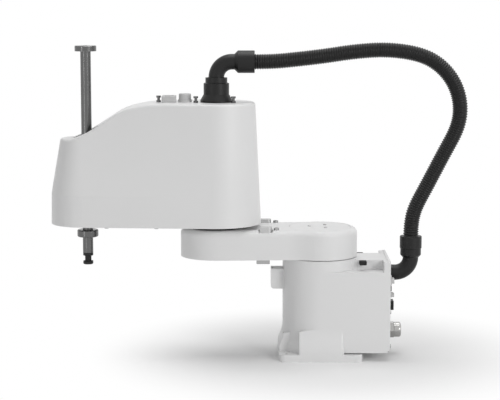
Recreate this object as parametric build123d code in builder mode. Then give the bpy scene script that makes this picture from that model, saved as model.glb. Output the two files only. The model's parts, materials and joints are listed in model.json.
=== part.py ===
from build123d import *
from math import cos, pi, radians, sin, tan
import os

os.makedirs("parts", exist_ok=True)

# Axes: the column stands on the origin, and both arms lie along -X
arm_1_length = 200.0
arm_2_length = 250.0
j2_x = -arm_1_length
j3_x = j2_x - arm_2_length

shaft_place = (j3_x, 0)

# Clearances
running_fit = 0.05
seat_gap = 0.3

# Base
foot_size = 160.0
foot_corner = 12.0
foot_block_width = 80.0
foot_block_height = 16.0
pad_height = 13.5
flare_height = 22.0
bolt_spacing = 134.0
bolt_hole_radius = 4.5
column_radius = 72.0
column_wall = 9.0
column_top = 193.5
column_lid = 13.5
box_length = 128.0
box_floor = 16.0
box_top = 191.5
box_wall = 7.0
notch_floor = 172.0
notch_inner_y = 40.0
notch_end_x = 120.0
lug_length = 23.0
lug_width = 34.0
lug_bottom = 131.0
lug_top = 170.0
lug_corner = 6.0

# Rear panel and what is screwed to it
panel_thickness = 4.6
panel_bottom = 20.0
panel_top = 193.0
panel_inset = 1.0
panel_face = box_length + panel_thickness
panel_screw_radius = 2.4
panel_screw_head = 2.0
power_size = (26.0, 17.5)
power_depth = 9.5
power_place = (-20.0, 100.5)
signal_size = (32.0, 13.5)
signal_depth = 9.0
signal_place = (-38.0, 151.0)
socket_size = (15.0, 10.0)
socket_depth = 4.0
socket_place = (-38.0, 136.0)
air_radius = 5.2
air_depth = 9.0
air_places = ((-42.0, 123.5), (-24.0, 121.5))
gland_place = (0.0, 47.0)
gland_radius = 16.5
gland_hex_depth = 13.0
gland_cap_depth = 13.5
gland_bore = 9.0

# Hose, its elbows and nuts
hose_radius = 15.0
hose_bore = 11.0
elbow_bend = 30.0
lower_elbow_z = 160.5
lower_elbow_flange = 19.0
hose_x = 176.6
hose_start_z = 232.0
nut_radius = 21.6
nut_chamfer = 3.5
upper_hose_rise = 77.2
upper_nut_length = 39.0
upper_nut_end_x = -126.5
upper_flange_radius = 31.0
upper_body_radius = 24.5
upper_step_radius = 21.0
upper_flare_height = 15.0
upper_body_height = 36.0
upper_step_height = 47.0
locknut_height = 6.0
hose_points = (
    (hose_x, 254.1),
    (183.0, 286.0),
    (206.9, 331.2),
    (237.3, 391.5),
    (265.1, 443.5),
    (269.7, 486.8),
    (257.3, 528.6),
    (230.0, 562.4),
    (191.8, 583.5),
    (128.8, 592.9),
    (65.6, 588.9),
    (5.2, 579.6),
    (-49.1, 573.4),
    (-93.2, 569.2),
)

# Arm 1
arm_1_floor = 195.0
arm_1_top = 251.0
arm_1_tip_radius = 69.5
arm_1_waist = 61.0
arm_1_waist_fillet = 128.0
arm_1_edge = 12.0
arm_1_wall = 8.0
hub_floor = 11.0
hub_well_radius = 50.0
disc_radius = 59.0
disc_thickness = 3.0
disc_screws = 3
disc_screw_circle = 20.5
disc_screw_radius = 3.2
disc_screw_head = 1.6
hub_boss_radius = 27.0
pocket_depth = 34.0
pocket_width = 86.0
stop_1_near = 97.0
stop_1_far = 123.0
stop_1_width = 20.0
stop_1_height = 17.0
stop_2_length = 23.0
stop_2_x = -105.5
stop_2_near = 60.0
stop_2_depth = 18.0
stop_2_floor = 247.0
stop_2_top = 257.4
stop_screw_height = 4.0
stop_screw_radius = 5.0

# Drive units of the first and second axis
unit_1_radius = 47.0
unit_1_flange = 56.0
unit_1_flange_height = 8.0
unit_1_bottom = 150.0
output_1_radius = 36.0
cable_bore = 12.0
motor_1_size = 60.0
motor_1_length = 88.0
motor_corner = 6.0
motor_plate = 8.0
unit_2_radius = 46.0
unit_2_flange = 56.0
unit_2_flange_height = 9.0
unit_2_height = 24.0
output_2_radius = 38.0
motor_2_size = 60.0
motor_2_length = 92.0

# Arm 2
arm_2_gap = 7.5
crest_rise = 69.0
rear_radius_bottom = 85.8
rear_radius_top = 74.7
nose_radius_bottom = 69.5
nose_radius_knee = 68.5
nose_radius_lip = 50.0
nose_radius_top = 36.5
knee_rise = 59.5
lip_above_well = 2.5
lip_reach = 27.0
cover_wall = 3.0
cover_edge = 5.0
floor_thickness = 10.0
floor_gap = 0.6
shaft_well_radius = 25.0
cover_boss_radius = 5.5
cover_boss_height = 22.0
cover_screw_radius = 2.5
cover_screw_head = 4.2
cover_head_height = 1.8
cover_screw_rows = (-313.0, -408.0)
stop_pin_reach = 112.0
stop_pin_radius = 4.0
stop_pin_bottom = 248.0

# Shaft and what turns it
shaft_radius = 10.0
shaft_above_arm = 108.0
tool_length = 31.0
relief_width = 1.5
relief_depth = 0.5
shaft_bore = 5.5
groove_radius = 1.2
groove_count = 3
upper_collar_radius = 20.8
upper_collar_height = 10.5
lower_collar_radius = 20.4
lower_collar_height = 14.0
lower_collar_drop = 13.5
cap_length = 23.6
cap_radius = 9.8
cap_disc = 5.0
cap_neck = 6.8
cap_foot = 7.0
nut_body_radius = 19.9
spline_nut_rise = 11.5
spline_nut_above_wheel = 15.0
bearing_inner = 20.0
bearing_outer = 26.0
bearing_height = 12.0
bearing_seat_rise = 13.5
boss_radius = 34.0
boss_height = 38.5
pulley_radius = 28.6
pulley_height = 15.0
pulley_teeth = 60
pulley_rim = 1.2
tooth_depth = 1.2
rotation_wheel_lift = 4.0
screw_wheel_lift = 3.0
screw_nut_below_plate = 24.0
screw_nut_above_wheel = 7.0
screw_nut_headroom = 8.5
motor_pulley_radius = 9.55
motor_pulley_teeth = 20
belt_thickness = 1.8
belt_height = 10.0
belt_gap = 0.3
tower_radius = 46.0
tower_wall = 6.0
tower_plate = 8.0
tower_opening = 15.0
rib_length = 28.0
rib_height = 8.0
servo_size = 40.0
screw_motor_place = (-365.0, 27.0)
rotation_motor_place = (-350.0, -31.0)
screw_motor_length = 84.0
brake_length = 22.0
brake_clearance = 1.5
rotation_motor_length = 78.0
servo_shaft_radius = 4.0
servo_shaft_length = 20.0
bracket_wall = 4.0

# Fittings on top of arm 2
connector_block_x = -291.0
connector_block_size = (27.0, 30.0, 12.5)
round_connector_x = -260.3
round_connector_radius = 13.4
round_connector_height = 16.5
small_fitting_places = ((-311.0, 0.0), (-239.0, -18.0), (-167.0, -22.0))
small_fitting_radius = 2.6
small_fitting_head = 4.4
small_fitting_height = 12.5

# Heights that follow from the sizes above, from the base upwards
arm_2_floor = arm_1_top + arm_2_gap
floor_top = arm_2_floor + floor_thickness
bearing_seat_z = arm_2_floor + bearing_seat_rise
boss_top = arm_2_floor + boss_height
rotation_pulley_z = boss_top + rotation_wheel_lift
spline_nut_bottom = arm_2_floor + spline_nut_rise
spline_nut_top = rotation_pulley_z + pulley_height + spline_nut_above_wheel
tower_plate_z = floor_top + brake_clearance + brake_length + screw_motor_length
screw_pulley_z = tower_plate_z + tower_plate + screw_wheel_lift
screw_nut_bottom = tower_plate_z - screw_nut_below_plate
screw_nut_top = screw_pulley_z + pulley_height + screw_nut_above_wheel
well_floor = screw_nut_top + screw_nut_headroom + cover_wall
lip_z = well_floor + lip_above_well
lip_end_x = j3_x - lip_reach
knee_z = arm_2_floor + knee_rise
arm_2_top = lip_z + crest_rise
upper_hose_z = arm_2_top + upper_hose_rise
shaft_top = arm_2_top + shaft_above_arm
lower_collar_top = arm_2_floor - lower_collar_drop
lower_collar_bottom = lower_collar_top - lower_collar_height
shaft_bottom = lower_collar_bottom - tool_length
end_cap_bottom = shaft_bottom - cap_length


def tapered_outline(x_a, radius_a, x_b, radius_b):
    """Two circles on the X axis and their outer tangents, as one face."""
    with Locations((x_a, 0)):
        Circle(radius_a)
    with Locations((x_b, 0)):
        Circle(radius_b)
    make_hull()


# Base casting: foot with four bolt pads, flared blocks, column and rear box
column_inner = column_radius - column_wall
with BuildPart() as base_casting:
    with BuildSketch():
        RectangleRounded(foot_size, foot_size, foot_corner)
    extrude(amount=pad_height)
    with BuildSketch():
        Rectangle(foot_size, foot_block_width)
        Rectangle(foot_block_width, foot_size)
    extrude(amount=foot_block_height)
    with BuildSketch(Plane.XY.offset(foot_block_height)):
        Rectangle(foot_size, foot_block_width)
    with BuildSketch(Plane.XY.offset(foot_block_height + flare_height)):
        Rectangle(2 * column_radius - 2, foot_block_width)
    loft()
    with BuildSketch(Plane.XY.offset(foot_block_height)):
        Rectangle(foot_block_width, foot_size)
    with BuildSketch(Plane.XY.offset(foot_block_height + flare_height)):
        Rectangle(foot_block_width, 2 * column_radius - 2)
    loft()
    with BuildSketch():
        Circle(column_radius)
    extrude(amount=column_top)
    # Box behind the column, as wide as the column
    with BuildSketch(Plane.XY.offset(box_floor)):
        with Locations((box_length / 2, 0)):
            Rectangle(box_length, 2 * column_radius)
    extrude(amount=box_top - box_floor)
    # Lug on the front of the column
    with BuildSketch(Plane.XZ) as lug_profile:
        with Locations((-column_radius - lug_length / 2 + 5, (lug_bottom + lug_top) / 2)):
            Rectangle(lug_length + 10, lug_top - lug_bottom)
        fillet(lug_profile.vertices().group_by(Axis.X)[0].sort_by(Axis.Y)[0], lug_corner)
    extrude(amount=lug_width / 2, both=True)
    # Notches beside the top of the box, where the stop block of arm 1 swings in
    with BuildSketch(Plane.XY.offset(notch_floor)) as notch:
        for side in (-1, 1):
            with Locations((notch_end_x / 2, side * (column_radius + notch_inner_y) / 2)):
                Rectangle(notch_end_x, column_radius - notch_inner_y)
        Circle(column_radius, mode=Mode.SUBTRACT)
    extrude(amount=box_top - notch_floor, mode=Mode.SUBTRACT)
    # Hollow column, open below, with a lid that holds the drive unit
    with BuildSketch():
        Circle(column_inner)
    extrude(amount=column_top - column_lid, mode=Mode.SUBTRACT)
    with BuildSketch():
        Circle(unit_1_radius + running_fit)
    extrude(amount=column_top, mode=Mode.SUBTRACT)
    # Hollow box, closed by the rear panel
    with BuildSketch(Plane.XY.offset(box_floor + box_wall)):
        with Locations((box_length / 2, 0)):
            Rectangle(box_length, 2 * (column_radius - box_wall))
    extrude(amount=notch_floor - box_floor - 2 * box_wall, mode=Mode.SUBTRACT)
    with BuildSketch(Plane.XY.offset(notch_floor - box_wall)):
        with Locations(((column_inner + box_length) / 2, 0)):
            Rectangle(box_length - column_inner, 2 * (notch_inner_y - box_wall))
    extrude(amount=box_top - notch_floor, mode=Mode.SUBTRACT)
    # Column wall left standing inside the box, cut only by a cable window
    with BuildSketch(Plane.XY.offset(box_floor + box_wall)):
        Circle(column_radius)
        Circle(column_inner, mode=Mode.SUBTRACT)
        with Locations((column_radius, 0)):
            Rectangle(column_wall * 4, foot_block_width, mode=Mode.SUBTRACT)
    extrude(amount=notch_floor - box_floor - 2 * box_wall)
    with BuildSketch():
        with GridLocations(bolt_spacing, bolt_spacing, 2, 2):
            Circle(bolt_hole_radius)
    extrude(amount=pad_height, mode=Mode.SUBTRACT)

# Rear panel: a flat plate with openings for the connectors
panel_height = panel_top - panel_bottom
panel_middle = (panel_top + panel_bottom) / 2
panel_half = column_radius - panel_inset
panel_screw_margin = 8.0
panel_screw_y = panel_half - panel_screw_margin
panel_screw_rows = (
    panel_bottom + panel_screw_margin,
    panel_middle - 1.5 * panel_screw_margin,
    notch_floor - 1.25 * panel_screw_margin,
)
panel_plane = Plane.YZ.offset(box_length)
face_plane = Plane.YZ.offset(panel_face)
with BuildPart() as rear_panel:
    with BuildSketch(panel_plane):
        with Locations((0, panel_middle)):
            RectangleRounded(2 * panel_half, panel_height, 3)
        with Locations((0, lower_elbow_z)):
            Circle(hose_bore, mode=Mode.SUBTRACT)
        with Locations(gland_place):
            Circle(gland_bore, mode=Mode.SUBTRACT)
    extrude(amount=panel_thickness)

with BuildPart() as rear_panel_screws:
    with BuildSketch(face_plane):
        for row in panel_screw_rows:
            with Locations((-panel_screw_y, row), (panel_screw_y, row)):
                Circle(panel_screw_radius * 1.8)
    extrude(amount=panel_screw_head)
    fillet(rear_panel_screws.edges().group_by(Axis.X)[-1], panel_screw_head * 0.45)

with BuildPart() as power_connector:
    with BuildSketch(face_plane):
        with Locations(power_place):
            RectangleRounded(*power_size, 2)
    extrude(amount=power_depth)
    with BuildSketch(face_plane.offset(power_depth)):
        with Locations(power_place):
            RectangleRounded(power_size[0] - 6, power_size[1] - 6, 1.5)
    extrude(amount=-power_depth * 0.6, mode=Mode.SUBTRACT)

with BuildPart() as signal_connector:
    with BuildSketch(face_plane):
        with Locations(signal_place):
            RectangleRounded(*signal_size, 2)
    extrude(amount=signal_depth * 0.4)
    with BuildSketch(face_plane.offset(signal_depth * 0.4)):
        with Locations(signal_place):
            RectangleRounded(signal_size[0] * 0.62, signal_size[1] * 0.72, 3)
    extrude(amount=signal_depth * 0.6)

with BuildPart() as network_socket:
    with BuildSketch(face_plane):
        with Locations(socket_place):
            RectangleRounded(*socket_size, 1)
    extrude(amount=socket_depth)

with BuildPart() as base_air_fittings:
    with BuildSketch(face_plane):
        with Locations(*air_places):
            RegularPolygon(air_radius, 6)
    extrude(amount=air_depth * 0.5)
    with BuildSketch(face_plane.offset(air_depth * 0.5)):
        with Locations(*air_places):
            Circle(air_radius * 0.78)
    extrude(amount=air_depth * 0.5)
    with BuildSketch(face_plane.offset(air_depth)):
        with Locations(*air_places):
            Circle(air_radius * 0.4)
    extrude(amount=-air_depth * 0.7, mode=Mode.SUBTRACT)

with BuildPart() as gland_body:
    with BuildSketch(face_plane):
        with Locations(gland_place):
            RegularPolygon(gland_radius, 6)
            Circle(gland_bore, mode=Mode.SUBTRACT)
    extrude(amount=gland_hex_depth)
    chamfer(gland_body.edges().group_by(Axis.X)[-1].sort_by(Edge.length)[-6:], 0.8)

with BuildPart() as gland_cap:
    with BuildSketch(face_plane.offset(gland_hex_depth)):
        with Locations(gland_place):
            Circle(gland_radius * 0.9)
    extrude(amount=gland_cap_depth)
    fillet(gland_cap.edges().group_by(Axis.X)[-1], gland_cap_depth * 0.3)

# Bumpers of the first axis, on the inner walls of the notches
bumper_length = 14.0
bumper_height = 8.0
bumper_depth = 12.0
bumper_x = 81.0
bumper_z = 187.0
with BuildPart() as j1_bumpers:
    for side in (-1, 1):
        bumper_plane = Plane.XZ.offset(-side * notch_inner_y)
        with BuildSketch(bumper_plane):
            with Locations((bumper_x, bumper_z)):
                RectangleRounded(bumper_length, bumper_height, 2)
        extrude(amount=-side * bumper_depth)

# Drive unit of the first axis
unit_1_top = column_top - 0.1
with BuildPart() as j1_reducer_case:
    with BuildSketch(Plane.XY.offset(unit_1_bottom)):
        Circle(unit_1_radius)
        Circle(output_1_radius + running_fit, mode=Mode.SUBTRACT)
    extrude(amount=unit_1_top - unit_1_bottom)
    with BuildSketch(Plane.XY.offset(column_top - column_lid)):
        Circle(unit_1_flange)
        Circle(output_1_radius + running_fit, mode=Mode.SUBTRACT)
    extrude(amount=-unit_1_flange_height)

with BuildPart() as j1_output_flange:
    with BuildSketch(Plane.XY.offset(unit_1_bottom + motor_plate)):
        Circle(output_1_radius)
        Circle(cable_bore, mode=Mode.SUBTRACT)
    extrude(amount=arm_1_floor - unit_1_bottom - motor_plate)

with BuildPart() as j1_motor_plate:
    with BuildSketch(Plane.XY.offset(unit_1_bottom)):
        Circle(unit_1_radius)
    extrude(amount=-motor_plate)

with BuildPart() as j1_motor:
    with BuildSketch(Plane.XY.offset(unit_1_bottom - motor_plate)):
        RectangleRounded(motor_1_size, motor_1_size, motor_corner)
    extrude(amount=-motor_1_length)
    chamfer(j1_motor.edges().group_by(Axis.Z)[0], 2)

seal_1_inner = unit_1_radius + 11
with BuildPart() as j1_seal:
    with BuildSketch(Plane.XY.offset(column_top)):
        Circle(seal_1_inner + 7)
        Circle(seal_1_inner, mode=Mode.SUBTRACT)
    extrude(amount=arm_1_floor - column_top - seat_gap)

# Arm 1: one casting with a wide hub, a waist and a round tip
with BuildPart() as arm_1_casting:
    with BuildSketch(Plane.XY.offset(arm_1_floor)) as arm_1_plan:
        tapered_outline(j2_x, arm_1_tip_radius, 0, arm_1_waist)
        Circle(column_radius)
        creases = arm_1_plan.vertices().filter_by_position(Axis.X, -column_radius, -1)
        fillet(creases, arm_1_waist_fillet)
    extrude(amount=arm_1_top - arm_1_floor)
    fillet(arm_1_casting.edges().group_by(Axis.Z)[-1], arm_1_edge)
    # Well under the round cover
    with BuildSketch(Plane.XY.offset(arm_1_top)):
        Circle(disc_radius + seat_gap)
    extrude(amount=-disc_thickness, mode=Mode.SUBTRACT)
    with BuildSketch(Plane.XY.offset(arm_1_floor + hub_floor)):
        Circle(hub_well_radius)
        Circle(hub_boss_radius, mode=Mode.SUBTRACT)
    extrude(amount=arm_1_top - arm_1_floor - hub_floor, mode=Mode.SUBTRACT)
    with BuildSketch(Plane.XY.offset(arm_1_floor)):
        Circle(cable_bore)
    extrude(amount=arm_1_top - arm_1_floor, mode=Mode.SUBTRACT)
    # Cable bore of the second axis
    with BuildSketch(Plane.XY.offset(arm_1_floor)):
        with Locations((j2_x, 0)):
            Circle(cable_bore)
    extrude(amount=arm_1_top - arm_1_floor, mode=Mode.SUBTRACT)
    # Pockets in the underside, with a rib between them
    pocket_end = j2_x + output_2_radius + arm_1_wall
    pocket_start = -unit_1_flange - arm_1_wall - stop_1_far + stop_1_near
    pocket_length = (pocket_start - pocket_end - arm_1_wall) / 2
    with BuildSketch(Plane.XY.offset(arm_1_floor)):
        for pocket_x in (pocket_end + pocket_length / 2, pocket_start - pocket_length / 2):
            with Locations((pocket_x, 0)):
                RectangleRounded(pocket_length, pocket_width, 5)
        with Locations(((-stop_1_near - stop_1_far) / 2, 0)):
            Rectangle(stop_1_far - stop_1_near + 8, stop_1_width + 8, mode=Mode.SUBTRACT)
    extrude(amount=pocket_depth, mode=Mode.SUBTRACT)
    # Seats of the stop blocks, cut into the top edges
    with BuildSketch(Plane.XY.offset(stop_2_floor)):
        for side in (-1, 1):
            with Locations((stop_2_x, side * (stop_2_near - stop_2_depth + column_radius / 2))):
                Rectangle(stop_2_length + 5, column_radius)
    extrude(amount=arm_1_top - stop_2_floor, mode=Mode.SUBTRACT)

with BuildPart() as j1_cover_disc:
    with BuildSketch(Plane.XY.offset(arm_1_top - disc_thickness)):
        Circle(disc_radius)
    extrude(amount=disc_thickness)
    chamfer(j1_cover_disc.edges().group_by(Axis.Z)[-1], 0.6)

with BuildPart() as j1_cover_screws:
    with BuildSketch(Plane.XY.offset(arm_1_top)):
        with PolarLocations(disc_screw_circle, disc_screws, 60):
            Circle(disc_screw_radius)
    extrude(amount=disc_screw_head)
    fillet(j1_cover_screws.edges().group_by(Axis.Z)[-1], disc_screw_head * 0.6)

with BuildPart() as j1_stop_block:
    with BuildSketch(Plane.XY.offset(arm_1_floor)):
        with Locations(((-stop_1_near - stop_1_far) / 2, 0)):
            Rectangle(stop_1_far - stop_1_near, stop_1_width)
    extrude(amount=-stop_1_height)
    chamfer(j1_stop_block.edges().group_by(Axis.Z)[0], 1)

with BuildPart() as j2_stop_blocks:
    with BuildSketch(Plane.XY.offset(stop_2_floor)) as stop_plan:
        for side in (-1, 1):
            with Locations((stop_2_x, side * (stop_2_near - stop_2_depth / 2))):
                Rectangle(stop_2_length, stop_2_depth)
        fillet(stop_plan.vertices().group_by(Axis.X)[-1], 6)
    extrude(amount=stop_2_top - stop_2_floor)

stop_screw_x = stop_2_x + stop_2_length / 2 + stop_screw_radius + 4
stop_screw_y = stop_2_near - 2.4 * stop_screw_radius
with BuildPart() as j2_stop_screws:
    with BuildSketch(Plane.XY.offset(arm_1_top)):
        with Locations((stop_screw_x, stop_screw_y), (stop_screw_x, -stop_screw_y)):
            Circle(stop_screw_radius)
    extrude(amount=stop_screw_height)
    with BuildSketch(Plane.XY.offset(arm_1_top + stop_screw_height)):
        with Locations((stop_screw_x, stop_screw_y), (stop_screw_x, -stop_screw_y)):
            RegularPolygon(stop_screw_radius * 0.56, 6)
    extrude(amount=-stop_screw_height * 0.75, mode=Mode.SUBTRACT)

# Drive unit of the second axis: its output is bolted to arm 1, its case to arm 2
case_2_top = floor_top + unit_2_height
with BuildPart() as j2_output_flange:
    with BuildSketch(Plane.XY.offset(arm_1_top)):
        with Locations((j2_x, 0)):
            Circle(output_2_radius)
            Circle(cable_bore, mode=Mode.SUBTRACT)
    extrude(amount=case_2_top - 8 - arm_1_top)

with BuildPart() as j2_seal:
    with BuildSketch(Plane.XY.offset(arm_1_top)):
        with Locations((j2_x, 0)):
            Circle(unit_2_radius + 12)
            Circle(unit_2_radius + 5, mode=Mode.SUBTRACT)
    extrude(amount=arm_2_floor - arm_1_top - seat_gap)

with BuildPart() as j2_reducer_case:
    with BuildSketch(Plane.XY.offset(arm_2_floor)):
        with Locations((j2_x, 0)):
            Circle(unit_2_radius)
            Circle(output_2_radius + running_fit, mode=Mode.SUBTRACT)
    extrude(amount=case_2_top - arm_2_floor)
    with BuildSketch(Plane.XY.offset(floor_top)):
        with Locations((j2_x, 0)):
            Circle(unit_2_flange)
            Circle(output_2_radius + running_fit, mode=Mode.SUBTRACT)
    extrude(amount=unit_2_flange_height)
    with BuildSketch(Plane.XY.offset(case_2_top - 6)):
        with Locations((j2_x, 0)):
            Circle(unit_2_radius)
            Circle(cable_bore, mode=Mode.SUBTRACT)
    extrude(amount=6)

with BuildPart() as j2_motor:
    with BuildSketch(Plane.XY.offset(case_2_top)):
        with Locations((j2_x, 0)):
            RectangleRounded(motor_2_size, motor_2_size, motor_corner)
    extrude(amount=motor_2_length)
    chamfer(j2_motor.edges().group_by(Axis.Z)[-1], 2)

# Arm 2: outline of the cover at a height
draft_rear = (rear_radius_bottom - rear_radius_top) / (arm_2_top - arm_2_floor)


def rear_radius(z):
    """Radius of the cover's rear end at a height."""
    return rear_radius_bottom - draft_rear * (z - arm_2_floor)


def cover_form(inset):
    """The cover's tapered form, drawn in by inset."""
    top = arm_2_top + cover_edge
    levels = (
        (arm_2_floor, nose_radius_bottom),
        (knee_z, nose_radius_knee),
        (lip_z, nose_radius_lip),
        (top, nose_radius_top),
    )
    with BuildPart() as form:
        for z, nose_radius in levels:
            with BuildSketch(Plane.XY.offset(z)):
                tapered_outline(j2_x, rear_radius(z) - inset, j3_x, nose_radius - inset)
        loft(ruled=True)
    return form.part


def side_form(drop):
    """Its outline from the side, lowered by drop: flat nose, rising curve, long flat top."""
    nose_x = j3_x - nose_radius_bottom - cover_edge
    rear_x = j2_x + rear_radius_bottom + cover_edge
    lip = lip_z - drop
    crest = arm_2_top - drop
    below = arm_2_floor - cover_edge
    rise = crest - lip
    with BuildPart() as form:
        with BuildSketch(Plane.XZ):
            with BuildLine():
                slope = Spline(
                    (lip_end_x, lip),
                    (lip_end_x + 0.54 * rise, lip + 0.245 * rise),
                    (lip_end_x + 1.015 * rise, lip + 0.55 * rise),
                    (lip_end_x + 1.496 * rise, lip + 0.823 * rise),
                    (lip_end_x + 1.94 * rise, lip + 0.942 * rise),
                    (lip_end_x + 2.75 * rise, crest),
                    tangents=((1, 0.3), (1, 0)),
                )
                Polyline(slope @ 1, (rear_x, crest), (rear_x, below), (nose_x, below), (nose_x, lip), slope @ 0)
            make_face()
        extrude(amount=rear_radius_bottom + cover_edge, both=True)
    return form.part


cover_outside = cover_form(0)
cover_inside = cover_form(cover_wall)
side_outside = side_form(0)
side_inside = side_form(cover_wall)

# Cover screws: bosses stand inside the wall, near the underside
boss_inset = cover_wall + cover_boss_radius - 1.0


def wall_half_width(x):
    """Half width of the cover's underside at a place along the arm."""
    share = (j2_x - x) / arm_2_length
    return rear_radius_bottom + share * (nose_radius_bottom - rear_radius_bottom)


rear_boss_angle = 32.0
rear_boss_circle = rear_radius_bottom - boss_inset
cover_screw_spots = [(x, side * (wall_half_width(x) - boss_inset)) for x in cover_screw_rows for side in (-1, 1)]
for side in (-1, 1):
    rear_boss_x = j2_x + rear_boss_circle * cos(radians(rear_boss_angle))
    rear_boss_y = side * rear_boss_circle * sin(radians(rear_boss_angle))
    cover_screw_spots.append((rear_boss_x, rear_boss_y))

with BuildPart() as hollow:
    add(cover_inside)
    add(side_inside, mode=Mode.INTERSECT)
    with BuildSketch(Plane.XY.offset(well_floor - cover_wall)):
        with Locations((j3_x, 0)):
            Circle(shaft_well_radius + cover_wall)
    extrude(amount=arm_2_top - lip_z, mode=Mode.SUBTRACT)
    with BuildSketch(Plane.XY.offset(arm_2_floor)):
        with Locations(*cover_screw_spots):
            Circle(cover_boss_radius)
    extrude(amount=cover_boss_height, mode=Mode.SUBTRACT)

with BuildPart() as arm_2_cover:
    add(cover_outside)
    add(side_outside, mode=Mode.INTERSECT)
    upper_faces = arm_2_cover.faces().filter_by(lambda face: face.normal_at().Z > 0.3)
    rim = upper_faces.edges().filter_by(GeomType.LINE, reverse=True)
    fillet(rim.filter_by(lambda edge: edge.bounding_box().size.Y > 1), cover_edge)
    # Flat round well where the shaft comes out
    with BuildSketch(Plane.XY.offset(well_floor)):
        with Locations((j3_x, 0)):
            Circle(shaft_well_radius)
    extrude(amount=arm_2_top - well_floor, mode=Mode.SUBTRACT)
    add(hollow.part, mode=Mode.SUBTRACT)
    with BuildSketch(Plane.XY.offset(well_floor - cover_wall)):
        with Locations((j3_x, 0)):
            Circle(shaft_radius + 2)
    extrude(amount=2 * cover_wall, mode=Mode.SUBTRACT)
    # Opening under the hose elbow
    with BuildSketch(Plane.XY.offset(arm_2_top)):
        with Locations((j2_x, 0)):
            Circle(hose_radius)
    extrude(amount=-2 * cover_wall, mode=Mode.SUBTRACT)
    with BuildSketch(Plane.XY.offset(arm_2_floor)):
        with Locations(*cover_screw_spots):
            Circle(cover_screw_radius)
    extrude(amount=cover_boss_height - cover_wall, mode=Mode.SUBTRACT)

with BuildPart() as cover_screws:
    with BuildSketch(Plane.XY.offset(arm_2_floor)):
        with Locations(*cover_screw_spots):
            Circle(cover_screw_head)
    extrude(amount=-cover_head_height)
    with BuildSketch(Plane.XY.offset(arm_2_floor)):
        with Locations(*cover_screw_spots):
            Circle(cover_screw_radius)
    extrude(amount=cover_boss_height - cover_wall)
    chamfer(cover_screws.edges().group_by(Axis.Z)[0], cover_head_height * 0.3)

# Casting of arm 2: the floor plate that everything inside stands on
plate_rear = rear_radius(floor_top) - cover_wall - floor_gap
plate_nose = nose_radius_knee - cover_wall - floor_gap
seal_seat_radius = shaft_radius + 11
with BuildPart() as arm_2_casting:
    with BuildSketch(Plane.XY.offset(arm_2_floor)):
        tapered_outline(j2_x, plate_rear, j3_x, plate_nose)
        with Locations(*cover_screw_spots):
            Circle(cover_boss_radius + floor_gap, mode=Mode.SUBTRACT)
        with Locations((j2_x, 0)):
            Circle(unit_2_radius + running_fit, mode=Mode.SUBTRACT)
    extrude(amount=floor_thickness)
    # Bearing boss round the shaft
    with BuildSketch(Plane.XY.offset(arm_2_floor)):
        with Locations((j3_x, 0)):
            Circle(boss_radius)
    extrude(amount=boss_top - arm_2_floor)
    with BuildSketch(Plane.XY.offset(arm_2_floor)):
        with Locations((j3_x, 0)):
            Circle(seal_seat_radius)
    extrude(amount=bearing_seat_z - arm_2_floor, mode=Mode.SUBTRACT)
    with BuildSketch(Plane.XY.offset(bearing_seat_z)):
        with Locations((j3_x, 0)):
            Circle(bearing_outer)
    extrude(amount=boss_top - bearing_seat_z, mode=Mode.SUBTRACT)
    # Ribs from the bearing boss to the middle of the plate
    with BuildSketch(Plane.XY.offset(floor_top)):
        for side in (-1, 1):
            with Locations((j3_x + boss_radius + rib_length / 2 - 3, side * boss_radius / 2)):
                Rectangle(rib_length, 5)
    extrude(amount=rib_height)

with BuildPart() as j2_stop_pin:
    with BuildSketch(Plane.XY.offset(arm_2_floor)):
        with Locations((j2_x - stop_pin_reach, 0)):
            Circle(stop_pin_radius)
    extrude(amount=stop_pin_bottom - arm_2_floor)
    chamfer(j2_stop_pin.edges().group_by(Axis.Z)[0], 0.8)

with BuildPart() as shaft_seal:
    with BuildSketch(Plane.XY.offset(arm_2_floor)):
        with Locations((j3_x, 0)):
            Circle(seal_seat_radius)
            Circle(shaft_radius + seat_gap, mode=Mode.SUBTRACT)
    extrude(amount=spline_nut_bottom - seat_gap - arm_2_floor)

# Tower that carries the screw nut: an open round wall with a plate on top
with BuildPart() as bearing_tower:
    with BuildSketch(Plane.XY.offset(floor_top)):
        with Locations((j3_x, 0)):
            Circle(tower_radius)
            Circle(tower_radius - tower_wall, mode=Mode.SUBTRACT)
        with Locations((j3_x + tower_opening + tower_radius, 0)):
            Rectangle(2 * tower_radius, 2 * tower_radius, mode=Mode.SUBTRACT)
    extrude(amount=tower_plate_z - floor_top)
    with BuildSketch(Plane.XY.offset(tower_plate_z)):
        with Locations((j3_x, 0)):
            Circle(tower_radius)
        with Locations(screw_motor_place):
            Circle(servo_size * 0.7)
        make_hull()
        with Locations(screw_motor_place):
            Circle(servo_shaft_radius + 2, mode=Mode.SUBTRACT)
    extrude(amount=tower_plate)
    # Bearing housing under the plate
    with BuildSketch(Plane.XY.offset(tower_plate_z)):
        with Locations((j3_x, 0)):
            Circle(boss_radius)
    extrude(amount=-bearing_height - 4)
    with BuildSketch(Plane.XY.offset(tower_plate_z + tower_plate)):
        with Locations((j3_x, 0)):
            Circle(bearing_outer)
    extrude(amount=-2 * bearing_height + 2, mode=Mode.SUBTRACT)
    with BuildSketch(Plane.XY.offset(tower_plate_z - bearing_height - 4)):
        with Locations((j3_x, 0)):
            Circle(bearing_inner + 2)
    extrude(amount=tower_plate_z, mode=Mode.SUBTRACT)


def shaft_ring(outer, inner):
    """A ring round the shaft, as a flat profile."""
    with Locations(shaft_place):
        Circle(outer)
        Circle(inner, mode=Mode.SUBTRACT)


def toothed_ring(place, radius, bore, teeth):
    """A belt wheel with a row of teeth, as a flat profile."""
    pitch = 2 * pi * radius / teeth
    with Locations(place):
        Circle(radius)
        with PolarLocations(radius, teeth):
            Rectangle(2 * tooth_depth, pitch * 0.45, mode=Mode.SUBTRACT)
        Circle(bore, mode=Mode.SUBTRACT)


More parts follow.
